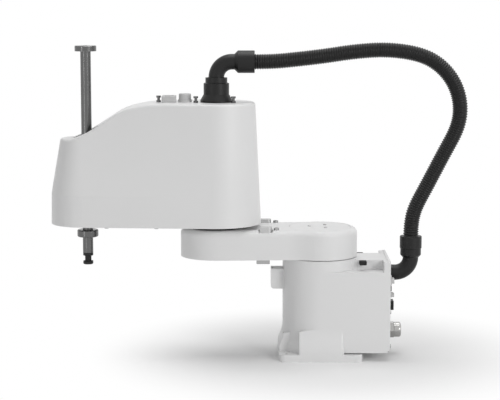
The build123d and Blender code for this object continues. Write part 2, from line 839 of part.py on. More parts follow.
def rim_ring(place, radius, bore):
    """The thin flange beside the teeth, as a flat profile."""
    with Locations(place):
        Circle(radius + pulley_rim)
        Circle(bore, mode=Mode.SUBTRACT)


def rim_levels(bottom):
    """Heights of the two flanges of a belt wheel."""
    return (bottom, bottom + pulley_height - pulley_rim)


with BuildPart() as spline_bearings:
    for level in (bearing_seat_z, boss_top - bearing_height):
        with BuildSketch(Plane.XY.offset(level)):
            shaft_ring(bearing_outer, bearing_inner)
        extrude(amount=bearing_height)

screw_bearing_top = tower_plate_z + tower_plate
with BuildPart() as screw_bearings:
    with BuildSketch(Plane.XY.offset(screw_bearing_top)):
        shaft_ring(bearing_outer, bearing_inner)
    extrude(amount=-bearing_height)

with BuildPart() as spline_nut:
    with BuildSketch(Plane.XY.offset(spline_nut_bottom)):
        shaft_ring(nut_body_radius, shaft_radius + running_fit)
    extrude(amount=spline_nut_top - spline_nut_bottom)
    chamfer(spline_nut.edges().group_by(Axis.Z)[-1], 0.6)

with BuildPart() as screw_nut:
    with BuildSketch(Plane.XY.offset(screw_nut_bottom)):
        shaft_ring(nut_body_radius, shaft_radius + running_fit)
    extrude(amount=screw_nut_top - screw_nut_bottom)
    chamfer(screw_nut.edges().group_by(Axis.Z)[-1], 0.6)

# Driven wheels, each with a hub that holds it against its bearing
with BuildPart() as rotation_pulley:
    with BuildSketch(Plane.XY.offset(rotation_pulley_z)):
        toothed_ring(shaft_place, pulley_radius, nut_body_radius, pulley_teeth)
    extrude(amount=pulley_height)
    for level in rim_levels(rotation_pulley_z):
        with BuildSketch(Plane.XY.offset(level)):
            rim_ring(shaft_place, pulley_radius, nut_body_radius)
        extrude(amount=pulley_rim)
    with BuildSketch(Plane.XY.offset(boss_top + seat_gap)):
        shaft_ring(bearing_inner + 3, nut_body_radius)
    extrude(amount=rotation_pulley_z - boss_top - seat_gap)

with BuildPart() as screw_pulley:
    with BuildSketch(Plane.XY.offset(screw_pulley_z)):
        toothed_ring(shaft_place, pulley_radius, nut_body_radius, pulley_teeth)
    extrude(amount=pulley_height)
    for level in rim_levels(screw_pulley_z):
        with BuildSketch(Plane.XY.offset(level)):
            rim_ring(shaft_place, pulley_radius, nut_body_radius)
        extrude(amount=pulley_rim)
    with BuildSketch(Plane.XY.offset(screw_bearing_top + seat_gap)):
        shaft_ring(bearing_inner + 3, nut_body_radius)
    extrude(amount=screw_pulley_z - screw_bearing_top - seat_gap)


def belt_outline(place, spacing):
    """The way of a belt round both wheels, as a flat profile."""
    with Locations(shaft_place):
        Circle(pulley_radius + spacing)
    with Locations(place):
        Circle(motor_pulley_radius + spacing)
    make_hull()


belt_lift = (pulley_height - belt_height) / 2
with BuildPart() as rotation_belt:
    with BuildSketch(Plane.XY.offset(rotation_pulley_z + belt_lift)):
        belt_outline(rotation_motor_place, belt_gap + belt_thickness)
    extrude(amount=belt_height)
    with BuildSketch(Plane.XY.offset(rotation_pulley_z + belt_lift)):
        belt_outline(rotation_motor_place, belt_gap)
    extrude(amount=belt_height, mode=Mode.SUBTRACT)

with BuildPart() as screw_belt:
    with BuildSketch(Plane.XY.offset(screw_pulley_z + belt_lift)):
        belt_outline(screw_motor_place, belt_gap + belt_thickness)
    extrude(amount=belt_height)
    with BuildSketch(Plane.XY.offset(screw_pulley_z + belt_lift)):
        belt_outline(screw_motor_place, belt_gap)
    extrude(amount=belt_height, mode=Mode.SUBTRACT)

# Motor of the vertical travel, under the tower's plate, with its brake
with BuildPart() as screw_motor:
    with BuildSketch(Plane.XY.offset(tower_plate_z)):
        with Locations(screw_motor_place):
            RectangleRounded(servo_size, servo_size, 3)
            Circle(servo_shaft_radius + running_fit, mode=Mode.SUBTRACT)
    extrude(amount=-screw_motor_length)
    chamfer(screw_motor.edges().group_by(Axis.Z)[0].filter_by(GeomType.LINE), 1)

with BuildPart() as screw_motor_brake:
    with BuildSketch(Plane.XY.offset(tower_plate_z - screw_motor_length)):
        with Locations(screw_motor_place):
            RectangleRounded(servo_size - 3, servo_size - 3, 3)
    extrude(amount=-brake_length)

with BuildPart() as screw_motor_pulley:
    with BuildSketch(Plane.XY.offset(screw_pulley_z)):
        toothed_ring(screw_motor_place, motor_pulley_radius, servo_shaft_radius, motor_pulley_teeth)
    extrude(amount=pulley_height)
    for level in rim_levels(screw_pulley_z):
        with BuildSketch(Plane.XY.offset(level)):
            rim_ring(screw_motor_place, motor_pulley_radius, servo_shaft_radius)
        extrude(amount=pulley_rim)
    with BuildSketch(Plane.XY.offset(screw_pulley_z + pulley_height)):
        with Locations(screw_motor_place):
            Circle(servo_shaft_radius)
    extrude(amount=-servo_shaft_length - pulley_height)

# Motor of the rotation, on a bracket that stands on the floor plate
bracket_z = rotation_pulley_z + pulley_height + 2
with BuildPart() as rotation_motor_bracket:
    with BuildSketch(Plane.XY.offset(bracket_z)):
        with Locations((rotation_motor_place[0] + bracket_wall / 2, rotation_motor_place[1])):
            Rectangle(servo_size + bracket_wall, servo_size)
        with Locations(rotation_motor_place):
            Circle(servo_shaft_radius + 2, mode=Mode.SUBTRACT)
    extrude(amount=bracket_wall)
    with BuildSketch(Plane.XY.offset(floor_top)):
        with Locations((rotation_motor_place[0] + servo_size / 2 + bracket_wall / 2, rotation_motor_place[1])):
            Rectangle(bracket_wall, servo_size)
    extrude(amount=bracket_z - floor_top)

with BuildPart() as rotation_motor:
    with BuildSketch(Plane.XY.offset(bracket_z + bracket_wall)):
        with Locations(rotation_motor_place):
            RectangleRounded(servo_size, servo_size, 3)
            Circle(servo_shaft_radius + running_fit, mode=Mode.SUBTRACT)
    extrude(amount=rotation_motor_length)
    chamfer(rotation_motor.edges().group_by(Axis.Z)[-1].filter_by(GeomType.LINE), 1)

with BuildPart() as rotation_motor_pulley:
    with BuildSketch(Plane.XY.offset(rotation_pulley_z)):
        toothed_ring(rotation_motor_place, motor_pulley_radius, servo_shaft_radius, motor_pulley_teeth)
    extrude(amount=pulley_height)
    for level in rim_levels(rotation_pulley_z):
        with BuildSketch(Plane.XY.offset(level)):
            rim_ring(rotation_motor_place, motor_pulley_radius, servo_shaft_radius)
        extrude(amount=pulley_rim)
    with BuildSketch(Plane.XY.offset(rotation_pulley_z)):
        with Locations(rotation_motor_place):
            Circle(servo_shaft_radius)
    extrude(amount=servo_shaft_length + pulley_height)

# Ball screw spline shaft: one long bar with straight grooves
with BuildPart() as spline_shaft:
    with BuildSketch(Plane.XY.offset(shaft_bottom)):
        with Locations(shaft_place):
            Circle(shaft_radius)
            with PolarLocations(shaft_radius, groove_count, 90):
                Circle(groove_radius, mode=Mode.SUBTRACT)
            Circle(shaft_bore, mode=Mode.SUBTRACT)
    extrude(amount=shaft_top - shaft_bottom)
    # Relief groove between the tool's seat and the lower collar
    with BuildSketch(Plane.XY.offset(lower_collar_bottom)):
        shaft_ring(shaft_radius + 1, shaft_radius - relief_depth)
    extrude(amount=-relief_width, mode=Mode.SUBTRACT)

with BuildPart() as upper_collar:
    with BuildSketch(Plane.XY.offset(shaft_top)):
        shaft_ring(upper_collar_radius, shaft_radius)
    extrude(amount=-upper_collar_height)
    chamfer(upper_collar.edges().group_by(Axis.Z)[-1].sort_by(Edge.length)[-1], 0.8)

with BuildPart() as lower_collar:
    with BuildSketch(Plane.XY.offset(lower_collar_top)):
        shaft_ring(lower_collar_radius, shaft_radius)
    extrude(amount=-lower_collar_height)
    fillet(lower_collar.edges().group_by(Axis.Z)[-1].sort_by(Edge.length)[-1], 2.5)
    fillet(lower_collar.edges().group_by(Axis.Z)[0].sort_by(Edge.length)[-1], 2.5)

with BuildPart() as end_cap:
    with BuildSketch(Plane.XZ):
        with BuildLine():
            Polyline(
                (j3_x, shaft_bottom),
                (j3_x + cap_radius, shaft_bottom),
                (j3_x + cap_radius, shaft_bottom - cap_disc),
                (j3_x + cap_neck, shaft_bottom - cap_disc - 2),
                (j3_x + cap_neck, end_cap_bottom + cap_foot + 2),
                (j3_x + cap_radius, end_cap_bottom + cap_foot),
                (j3_x + cap_radius, end_cap_bottom),
                (j3_x, end_cap_bottom),
                close=True,
            )
        make_face()
    revolve(axis=Axis((j3_x, 0, 0), (0, 0, 1)))

# Elbow at the base, from the rear panel upward
with BuildPart() as lower_elbow:
    with BuildSketch(face_plane):
        with Locations((0, lower_elbow_z)):
            RectangleRounded(2 * lower_elbow_flange, 2 * lower_elbow_flange * 0.66, 4)
    extrude(amount=8)
    with BuildLine(Plane.XZ) as lower_way:
        FilletPolyline(
            (panel_face, lower_elbow_z), (hose_x, lower_elbow_z), (hose_x, hose_start_z), radius=elbow_bend
        )
    with BuildSketch(face_plane):
        with Locations((0, lower_elbow_z)):
            Circle(hose_radius)
    sweep()

lower_nut_bottom = lower_elbow_z + elbow_bend
with BuildPart() as lower_hose_nut:
    with BuildSketch(Plane.XY.offset(lower_nut_bottom)):
        with Locations((hose_x, 0)):
            Circle(nut_radius)
    extrude(amount=hose_start_z - lower_nut_bottom)
    chamfer(lower_hose_nut.edges().group_by(Axis.Z)[0], nut_chamfer)
    fillet(lower_hose_nut.edges().group_by(Axis.Z)[-1], 1.2)
    with BuildSketch(Plane.XY.offset(lower_nut_bottom)):
        with Locations((hose_x, 0)):
            Circle(hose_radius + running_fit)
    extrude(amount=hose_start_z - lower_nut_bottom, mode=Mode.SUBTRACT)

# Elbow on top of arm 2: flared flange, body, step and a bend towards the rear
with BuildPart() as upper_elbow:
    with BuildSketch(Plane.XZ):
        with BuildLine():
            Polyline(
                (j2_x, arm_2_top),
                (j2_x + upper_flange_radius, arm_2_top),
                (j2_x + upper_flange_radius, arm_2_top + 3.5),
                (j2_x + upper_body_radius, arm_2_top + upper_flare_height),
                (j2_x + upper_body_radius, arm_2_top + upper_body_height),
                (j2_x + upper_step_radius, arm_2_top + upper_body_height + 1.5),
                (j2_x + upper_step_radius, arm_2_top + upper_step_height),
                (j2_x, arm_2_top + upper_step_height),
                close=True,
            )
        make_face()
    revolve(axis=Axis((j2_x, 0, 0), (0, 0, 1)))
    with BuildSketch(Plane.XY.offset(arm_2_top)):
        with Locations((j2_x, 0)):
            Circle(hose_radius - running_fit)
    extrude(amount=-cover_wall - locknut_height)
    with BuildLine(Plane.XZ) as upper_way:
        FilletPolyline(
            (j2_x, arm_2_top + upper_body_height),
            (j2_x, upper_hose_z),
            (upper_nut_end_x, upper_hose_z),
            radius=elbow_bend,
        )
    with BuildSketch(Plane.XY.offset(arm_2_top + upper_body_height)):
        with Locations((j2_x, 0)):
            Circle(hose_radius)
    sweep()

with BuildPart() as elbow_locknut:
    with BuildSketch(Plane.XY.offset(arm_2_top - cover_wall)):
        with Locations((j2_x, 0)):
            RegularPolygon(hose_radius + 7, 6)
            Circle(hose_radius, mode=Mode.SUBTRACT)
    extrude(amount=-locknut_height)

upper_nut_plane = Plane.YZ.offset(upper_nut_end_x - upper_nut_length)
with BuildPart() as upper_hose_nut:
    with BuildSketch(upper_nut_plane):
        with Locations((0, upper_hose_z)):
            Circle(nut_radius)
    extrude(amount=upper_nut_length)
    chamfer(upper_hose_nut.edges().group_by(Axis.X)[0], 2 * nut_chamfer)
    fillet(upper_hose_nut.edges().group_by(Axis.X)[-1], 1.2)
    with BuildSketch(upper_nut_plane):
        with Locations((0, upper_hose_z)):
            Circle(hose_radius + running_fit)
    extrude(amount=upper_nut_length, mode=Mode.SUBTRACT)

# Hose: straight runs joined by tangent arcs, from nut to nut
hose_ends = ((hose_x, hose_start_z), (upper_nut_end_x, upper_hose_z))
hose_route = (hose_ends[0], *hose_points, hose_ends[1])
hose_runs = [Vector(*b) - Vector(*a) for a, b in zip(hose_route, hose_route[1:])]
hose_radii = []
for before, after in zip(hose_runs, hose_runs[1:]):
    half_turn = radians(before.get_angle(after)) / 2
    hose_radii.append(0.45 * min(before.length, after.length) / tan(half_turn))
print("hose arc radii:", [round(radius, 1) for radius in hose_radii])

with BuildPart() as conduit_hose:
    with BuildLine(Plane.XZ) as hose_line:
        FilletPolyline(*hose_route, radius=hose_radii)
    with BuildSketch(Plane.XY.offset(hose_start_z)):
        with Locations((hose_x, 0)):
            Circle(hose_radius)
    sweep()
hose_length = hose_line.wire().length
hose_section = pi * hose_radius**2
print("hose length:", round(hose_length, 1))
print("hose volume over section times length:", round(conduit_hose.part.volume / hose_section / hose_length, 4))

# Connectors and fittings on top of arm 2
block_length, block_width, block_height = connector_block_size
with BuildPart() as signal_block:
    with BuildSketch(Plane.XY.offset(arm_2_top)):
        with Locations((connector_block_x, 0)):
            RectangleRounded(block_length, block_width, 2)
    extrude(amount=block_height)
    chamfer(signal_block.edges().group_by(Axis.Z)[-1], 0.8)
    with BuildSketch(Plane.XY.offset(arm_2_top + block_height)):
        with Locations((connector_block_x, 0)):
            RectangleRounded(block_length * 0.66, block_width * 0.5, 2)
    extrude(amount=-block_height * 0.4, mode=Mode.SUBTRACT)

with BuildPart() as round_connector:
    with BuildSketch(Plane.XY.offset(arm_2_top)):
        with Locations((round_connector_x, 0)):
            Circle(round_connector_radius)
    extrude(amount=round_connector_height * 0.3)
    with BuildSketch(Plane.XY.offset(arm_2_top)):
        with Locations((round_connector_x, 0)):
            Circle(round_connector_radius * 0.88)
    extrude(amount=round_connector_height)
    fillet(round_connector.edges().group_by(Axis.Z)[-1], 2)

with BuildPart() as top_air_fittings:
    with BuildSketch(Plane.XY.offset(arm_2_top)):
        with Locations(*small_fitting_places):
            Circle(small_fitting_radius)
    extrude(amount=small_fitting_height)
    with BuildSketch(Plane.XY.offset(arm_2_top)):
        with Locations(*small_fitting_places):
            RegularPolygon(small_fitting_head, 6)
    extrude(amount=small_fitting_height * 0.3)
    with BuildSketch(Plane.XY.offset(arm_2_top + small_fitting_height * 0.7)):
        with Locations(*small_fitting_places):
            Circle(small_fitting_head)
    extrude(amount=small_fitting_height * 0.3)

pieces = {
    "base_casting": base_casting,
    "rear_panel": rear_panel,
    "rear_panel_screws": rear_panel_screws,
    "power_connector": power_connector,
    "signal_connector": signal_connector,
    "network_socket": network_socket,
    "base_air_fittings": base_air_fittings,
    "gland_body": gland_body,
    "gland_cap": gland_cap,
    "lower_elbow": lower_elbow,
    "lower_hose_nut": lower_hose_nut,
    "j1_motor": j1_motor,
    "j1_motor_plate": j1_motor_plate,
    "j1_reducer_case": j1_reducer_case,
    "j1_bumpers": j1_bumpers,
    "j1_seal": j1_seal,
    "arm_1_casting": arm_1_casting,
    "j1_output_flange": j1_output_flange,
    "j1_cover_disc": j1_cover_disc,
    "j1_cover_screws": j1_cover_screws,
    "j1_stop_block": j1_stop_block,
    "j2_stop_blocks": j2_stop_blocks,
    "j2_stop_screws": j2_stop_screws,
    "j2_output_flange": j2_output_flange,
    "j2_seal": j2_seal,
    "conduit_hose": conduit_hose,
    "arm_2_casting": arm_2_casting,
    "arm_2_cover": arm_2_cover,
    "cover_screws": cover_screws,
    "j2_motor": j2_motor,
    "j2_reducer_case": j2_reducer_case,
    "j2_stop_pin": j2_stop_pin,
    "shaft_seal": shaft_seal,
    "bearing_tower": bearing_tower,
    "spline_bearings": spline_bearings,
    "screw_bearings": screw_bearings,
    "screw_motor": screw_motor,
    "screw_motor_brake": screw_motor_brake,
    "screw_belt": screw_belt,
    "rotation_motor": rotation_motor,
    "rotation_motor_bracket": rotation_motor_bracket,
    "rotation_belt": rotation_belt,
    "upper_elbow": upper_elbow,
    "elbow_locknut": elbow_locknut,
    "upper_hose_nut": upper_hose_nut,
    "signal_block": signal_block,
    "round_connector": round_connector,
    "top_air_fittings": top_air_fittings,
    "spline_nut": spline_nut,
    "rotation_pulley": rotation_pulley,
    "screw_nut": screw_nut,
    "screw_pulley": screw_pulley,
    "screw_motor_pulley": screw_motor_pulley,
    "rotation_motor_pulley": rotation_motor_pulley,
    "spline_shaft": spline_shaft,
    "upper_collar": upper_collar,
    "lower_collar": lower_collar,
    "end_cap": end_cap,
}
for name, piece in pieces.items():
    piece.part.label = name
    export_step(piece.part, f"parts/{name}.step")
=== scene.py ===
import json
import math

import bmesh
import bpy
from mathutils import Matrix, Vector


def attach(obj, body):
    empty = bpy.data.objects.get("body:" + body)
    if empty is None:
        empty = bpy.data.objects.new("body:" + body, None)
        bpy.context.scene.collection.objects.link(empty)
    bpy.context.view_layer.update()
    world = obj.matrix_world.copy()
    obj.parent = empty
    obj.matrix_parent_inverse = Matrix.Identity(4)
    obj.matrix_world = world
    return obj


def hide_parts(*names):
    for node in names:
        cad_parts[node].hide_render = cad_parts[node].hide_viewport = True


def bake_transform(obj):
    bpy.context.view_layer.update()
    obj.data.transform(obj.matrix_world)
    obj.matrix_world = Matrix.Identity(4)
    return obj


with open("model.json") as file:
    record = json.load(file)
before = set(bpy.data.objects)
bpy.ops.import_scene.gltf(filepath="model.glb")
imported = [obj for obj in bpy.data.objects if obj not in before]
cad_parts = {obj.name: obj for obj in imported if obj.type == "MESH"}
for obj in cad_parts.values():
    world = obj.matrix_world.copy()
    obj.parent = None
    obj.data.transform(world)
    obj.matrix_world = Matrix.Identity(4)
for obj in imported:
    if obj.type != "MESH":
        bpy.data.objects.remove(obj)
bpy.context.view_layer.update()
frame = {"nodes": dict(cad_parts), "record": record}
nodes = frame["nodes"]
scene = bpy.context.scene
scene.view_settings.view_transform = "Standard"

# View of the photograph, in metres, degrees, pixels and millimetres
VIEW_TARGET = (-0.1355, 0.0, 0.3022)
VIEW_DISTANCE = 3.135
VIEW_PITCH = 7.8
VIEW_REACH = 200.0
PICTURE_WIDTH_PX = 500.0
FOCAL_LENGTH_PX = 1620.0
SENSOR_WIDTH_MM = 36.0

# Hose, in metres: its middle line runs in the plane of the arms, from nut to nut
HOSE_DIAMETER = 0.030
HOSE_ROUTE = (
    (0.1766, 0.2320),
    (0.1766, 0.2541),
    (0.1830, 0.2860),
    (0.2069, 0.3312),
    (0.2373, 0.3915),
    (0.2651, 0.4435),
    (0.2697, 0.4868),
    (0.2573, 0.5286),
    (0.2300, 0.5624),
    (0.1918, 0.5835),
    (0.1288, 0.5929),
    (0.0656, 0.5889),
    (0.0052, 0.5796),
    (-0.0491, 0.5734),
    (-0.0932, 0.5692),
    (-0.1265, 0.5692),
)
HOSE_SPLIT_X = 0.115
HOSE_BENDS_BELOW = ((0.0, 0.0, 0.27), (0.0, 0.0, 0.56))
HOSE_BENDS_ABOVE = ((0.095, 0.0, 0.0), (-0.115, 0.0, 0.0))
ROUTE_STEPS = 24
RIB_PITCH = 0.0046
RIB_DEPTH = 0.0016
RIB_STEPS = 8.0
RIB_VALLEY = -0.6
RIB_VALLEY_SHARE = 0.62
HOSE_SIDES = 32

# Sweep between the foot and the column, in metres and degrees
COLUMN = 0.07206
FOOT_FACE = 0.0801
BLOCK_HALF = 0.0425
CORNER_POWER = 40.0
POCKET_WALL = 0.0765
POCKET_TOP = 0.036
PAD_TOP = 0.01355
FLARE_FRONT = (0.016, 0.062)
FLARE_SIDE = (0.022, 0.044)
FLARE_INSIDE = 0.003
FLARE_ENDS = (-30.6, 210.6)
FLARE_STEPS = 310
FLARE_LEVELS = 16
FLARE_SHARP = 40.0

# Lower hose nut, in metres
NUT_BORE = 0.01505
NUT_GRIP = 0.0212
NUT_COLLAR = 0.0200
NUT_RIM = 0.0155
NUT_STEP_Z = 0.2080
NUT_BOTTOM_Z = 0.1905
NUT_EDGE = 0.0008
NUT_SLOPE = 0.0012
NUT_CHAMFER = 0.0050

# Black end piece of the shaft, in metres
SHAFT_X = -0.45
CAP_TOP_Z = 0.2000
CAP_BOTTOM_Z = 0.1764
CAP_RADIUS = 0.0098
CAP_NECK = 0.0062
CAP_EDGE = 0.0005
CAP_DISC = 0.0060
CAP_FOOT = 0.0071
CAP_DISC_SLOPE = 0.0003
CAP_FOOT_SLOPE = 0.0008
CAP_DOME = ((0.0098, 0.0020), (0.0085, 0.0007), (0.0050, 0.0001))

TURNED_SIDES = 64
TURNED_SHARP = 35.0

# Floor and light, in metres
FLOOR_SIZE = 160.0
FLOOR_CENTRE = (0.02, 0.0, 0.0)
FLOOR_SHADE = 0.86
FLOOR_SHADOW_INNER = 0.16
FLOOR_SHADOW_OUTER = 0.48
AMBIENT = 0.38
WHITE = (1.0, 1.0, 1.0, 1.0)


def place_camera():
    """The photograph's view: level with the outer arm's underside, looking down a little."""
    pitch = math.radians(VIEW_PITCH)
    back = Vector((0.0, -math.cos(pitch), math.sin(pitch)))
    data = bpy.data.cameras.new("photo_camera")
    data.sensor_width = SENSOR_WIDTH_MM
    data.lens = FOCAL_LENGTH_PX * SENSOR_WIDTH_MM / PICTURE_WIDTH_PX
    data.clip_end = VIEW_REACH
    camera = bpy.data.objects.new("photo_camera", data)
    scene.collection.objects.link(camera)
    camera.location = Vector(VIEW_TARGET) + back * VIEW_DISTANCE
    camera.rotation_euler = (math.pi / 2 - pitch, 0.0, 0.0)
    scene.camera = camera


place_camera()


# Materials
class Value:
    """A socket in a node tree, so that shader maths reads as a plain expression."""

    def __init__(self, shading, socket):
        self.shading = shading
        self.socket = socket

    def math(self, operation, first, second):
        return self.shading.math(operation, first, second)

    def __add__(self, other):
        return self.math("ADD", self, other)

    __radd__ = __add__

    def __sub__(self, other):
        return self.math("SUBTRACT", self, other)

    def __mul__(self, other):
        return self.math("MULTIPLY", self, other)

    __rmul__ = __mul__


class Shading:
    """A shader tree in the making: one method adds any node and links what feeds it."""

    def __init__(self, tree):
        self.tree = tree

    def node(self, kind, settings, inputs, output=0):
        made = self.tree.nodes.new(kind)
        for key, value in settings.items():
            setattr(made, key, value)
        for key, value in inputs.items():
            self.feed(made.inputs[key], value)
        return Value(self, made.outputs[output])

    def feed(self, socket, value):
        if isinstance(value, Value):
            self.tree.links.new(value.socket, socket)
        else:
            socket.default_value = value

    def math(self, operation, first, second):
        return self.node("ShaderNodeMath", {"operation": operation}, {0: first, 1: second})

    def seen_directly(self):
        """One where the camera, a reflection or a transmission looks, zero where light is gathered."""
        camera = self.node("ShaderNodeLightPath", {}, {}, "Is Camera Ray")
        glossy = self.node("ShaderNodeLightPath", {}, {}, "Is Glossy Ray")
        through = self.node("ShaderNodeLightPath", {}, {}, "Is Transmission Ray")
        return self.math("MAXIMUM", self.math("MAXIMUM", camera, glossy), through)


class Finish(Shading):
    """A material in the making, closed by surface()."""

    def __init__(self, name):
        self.material = bpy.data.materials.new(name)
        self.material.use_nodes = True
        super().__init__(self.material.node_tree)
        self.tree.nodes.clear()
        self.place = self.node("ShaderNodeTexCoord", {}, {}, "Object")

    def stretched(self, scale):
        """The place on the piece, with its own scale along each axis."""
        return self.node("ShaderNodeMapping", {}, {"Vector": self.place, "Scale": scale}, "Vector")

    def noise(self, scale, detail=2.0, roughness=0.5, place=None):
        where = self.place if place is None else place
        sockets = {"Vector": where, "Scale": scale, "Detail": detail, "Roughness": roughness}
        return self.node("ShaderNodeTexNoise", {}, sockets, "Fac")

    def between(self, factor, first, second):
        """A colour from first to second, by factor."""
        sockets = {0: factor, 6: (*first, 1.0), 7: (*second, 1.0)}
        return self.node("ShaderNodeMix", {"data_type": "RGBA"}, sockets, 2)

    def bump(self, height, strength, distance):
        sockets = {"Height": height, "Strength": strength, "Distance": distance}
        return self.node("ShaderNodeBump", {}, sockets, "Normal")

    def principled(self, **sockets):
        """The usual shader, with a keyword for each socket that is set."""
        shader = self.tree.nodes.new("ShaderNodeBsdfPrincipled")
        for key, value in sockets.items():
            name = key.replace("_", " ").title().replace("Ior", "IOR")
            self.feed(shader.inputs[name], value)
        return Value(self, shader.outputs[0])

    def surface(self, shader):
        output = self.tree.nodes.new("ShaderNodeOutputMaterial")
        self.feed(output.inputs["Surface"], shader)
        return self.material


def paint(level, tint=(1.0, 1.0, 1.0)):
    """A colour from the brightness that it shows, 0 to 255."""
    share = level / 255.0
    linear = ((share + 0.055) / 1.055) ** 2.4
    return tuple(linear * channel for channel in tint)


def lacquer(name, level, peel, roughness):
    """Light grey lacquer: soft drift of shade, fine orange peel, slightly uneven gloss."""
    finish = Finish(name)
    drift = finish.noise(scale=7.0, detail=3.0)
    speck = finish.noise(scale=420.0, detail=2.0, roughness=0.7)
    shade = finish.between(drift * 0.7 + speck * 0.3, paint(level - 3), paint(level + 3))
    gloss = roughness + (finish.noise(scale=60.0, detail=2.0) - 0.5) * 0.08
    skin = finish.bump(finish.noise(scale=peel, detail=2.0, roughness=0.6), strength=0.35, distance=0.00012)
    shader = finish.principled(base_color=shade, roughness=gloss, normal=skin, specular_ior_level=0.45)
    return finish.surface(shader)


def moulded(name, level, grain, roughness):
    """Moulded plastic with a spark-eroded grain."""
    finish = Finish(name)
    drift = finish.noise(scale=11.0, detail=3.0)
    shade = finish.between(drift, paint(level * 0.94), paint(level * 1.06))
    pits = finish.noise(scale=grain, detail=3.0, roughness=0.65)
    gloss = roughness + (pits - 0.5) * 0.12
    skin = finish.bump(pits, strength=0.4, distance=0.00015)
    shader = finish.principled(base_color=shade, roughness=gloss, normal=skin, specular_ior_level=0.3)
    return finish.surface(shader)


def turned_metal(name, level, roughness, stretch, tint=(1.0, 1.0, 1.0)):
    """Bare metal with fine tool marks along one direction."""
    finish = Finish(name)
    marks = finish.noise(scale=1.0, detail=3.0, roughness=0.6, place=finish.stretched(stretch))
    shade = finish.between(marks, paint(level * 0.93, tint), paint(level * 1.05, tint))
    gloss = roughness + (marks - 0.5) * 0.12
    skin = finish.bump(marks, strength=0.25, distance=0.00005)
    shader = finish.principled(base_color=shade, metallic=1.0, roughness=gloss, normal=skin)
    return finish.surface(shader)


WARM = (1.0, 0.99, 0.965)
FINISHES = {
    "painted_casting": lacquer("casting_lacquer", level=226, peel=650.0, roughness=0.46),
    "cover_plastic": lacquer("cover_lacquer", level=226, peel=900.0, roughness=0.4),
    "light_plastic": moulded("pale_connector_plastic", level=196, grain=1500.0, roughness=0.5),
    "dark_plastic": moulded("black_fitting_plastic", level=22, grain=1400.0, roughness=0.42),
    "hose": moulded("black_hose_plastic", level=22, grain=1800.0, roughness=0.4),
    "rubber": moulded("black_rubber", level=34, grain=900.0, roughness=0.7),
    # Shaft steel: its base colour is darkened far below bare steel as a painted reflection, standing in for
    # the dark surroundings the polished shaft mirrors; the tool marks along it are its own.
    "polished_steel": turned_metal(
        "shaft_steel_painted_dark_reflection", level=104, roughness=0.2, stretch=(60.0, 60.0, 2400.0)
    ),
    "dark_metal": turned_metal(
        "grey_stop_steel", level=186, roughness=0.5, stretch=(500.0, 500.0, 500.0)
    ),
    "machined_steel": turned_metal(
        "machined_steel", level=165, roughness=0.3, stretch=(90.0, 90.0, 1800.0)
    ),
    "motor_black": moulded("motor_enamel", level=48, grain=700.0, roughness=0.45),
    "machined_aluminium": turned_metal(
        "machined_aluminium", level=190, roughness=0.35, stretch=(300.0, 1200.0, 300.0)
    ),
    "nickel_brass": turned_metal(
        "nickel_plating", level=176, roughness=0.22, stretch=(900.0, 300.0, 300.0), tint=WARM
    ),
}


def dress_cad_nodes():
    """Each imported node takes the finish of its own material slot."""
    for subpart in frame["record"]["subparts"]:
        node = nodes[subpart["node"]]
        finish = FINISHES[subpart["material_slot"]]
        if node.material_slots:
            for material_slot in node.material_slots:
                material_slot.material = finish
        else:
            node.data.materials.append(finish)


dress_cad_nodes()


# Ribbed hose
class Tree:
    """A Geometry Nodes tree in the making, with named inputs for its sizes."""

    def __init__(self, name, inputs):
        self.tree = bpy.data.node_groups.new(name, "GeometryNodeTree")
        self.tree.interface.new_socket("Geometry", in_out="OUTPUT", socket_type="NodeSocketGeometry")
        self.tree.interface.new_socket("Geometry", in_out="INPUT", socket_type="NodeSocketGeometry")
        for label, kind in inputs:
            self.tree.interface.new_socket(label, in_out="INPUT", socket_type=kind)
        self.entry = self.tree.nodes.new("NodeGroupInput")
        self.exit = self.tree.nodes.new("NodeGroupOutput")

    def given(self, label):
        return self.entry.outputs[label]

    def node(self, kind, settings, inputs, output=0):
        made = self.tree.nodes.new(kind)
        for key, value in settings.items():
            setattr(made, key, value)
        for key, value in inputs.items():
            if isinstance(value, bpy.types.NodeSocket):
                self.tree.links.new(value, made.inputs[key])
            else:
                made.inputs[key].default_value = value
        return made.outputs[output]

    def math(self, operation, first, second=0.0):
        return self.node("ShaderNodeMath", {"operation": operation}, {0: first, 1: second})

    def close(self, geometry):
        self.tree.links.new(geometry, self.exit.inputs[0])
        return self.tree


def grown(source, tree, values, name):
    """A plain mesh piece from a source object, grown by a tree with the given input values."""
    scene.collection.objects.link(source)
    modifier = source.modifiers.new("grow", "NODES")
    modifier.node_group = tree
    for item in tree.interface.items_tree:
        if item.in_out == "INPUT" and item.name in values:
            modifier[item.identifier] = values[item.name]
    source.update_tag()
    bpy.context.view_layer.update()
    evaluated = source.evaluated_get(bpy.context.evaluated_depsgraph_get())
    mesh = bpy.data.meshes.new_from_object(evaluated)
    piece = bpy.data.objects.new(name, mesh)
    mesh.name = name
    scene.collection.objects.link(piece)
    bpy.data.objects.remove(source)
    return piece


def hose_line():
    """Points of the hose's smooth centre line, from the base to the outer arm."""
    curve = bpy.data.curves.new("hose_route", "CURVE")
    curve.dimensions = "3D"
    curve.resolution_u = ROUTE_STEPS
    spline = curve.splines.new("NURBS")
    spline.points.add(len(HOSE_ROUTE) - 1)
    for point, (x, z) in zip(spline.points, HOSE_ROUTE):
        point.co = (x, 0.0, z, 1.0)
    spline.order_u = 3
    spline.use_endpoint_u = True
    route = bpy.data.objects.new("hose_route", curve)
    scene.collection.objects.link(route)
    bpy.context.view_layer.update()
    mesh = bpy.data.meshes.new_from_object(route)
    line = [vertex.co.copy() for vertex in mesh.vertices]
    bpy.data.objects.remove(route)
    bpy.data.meshes.remove(mesh)
    return line


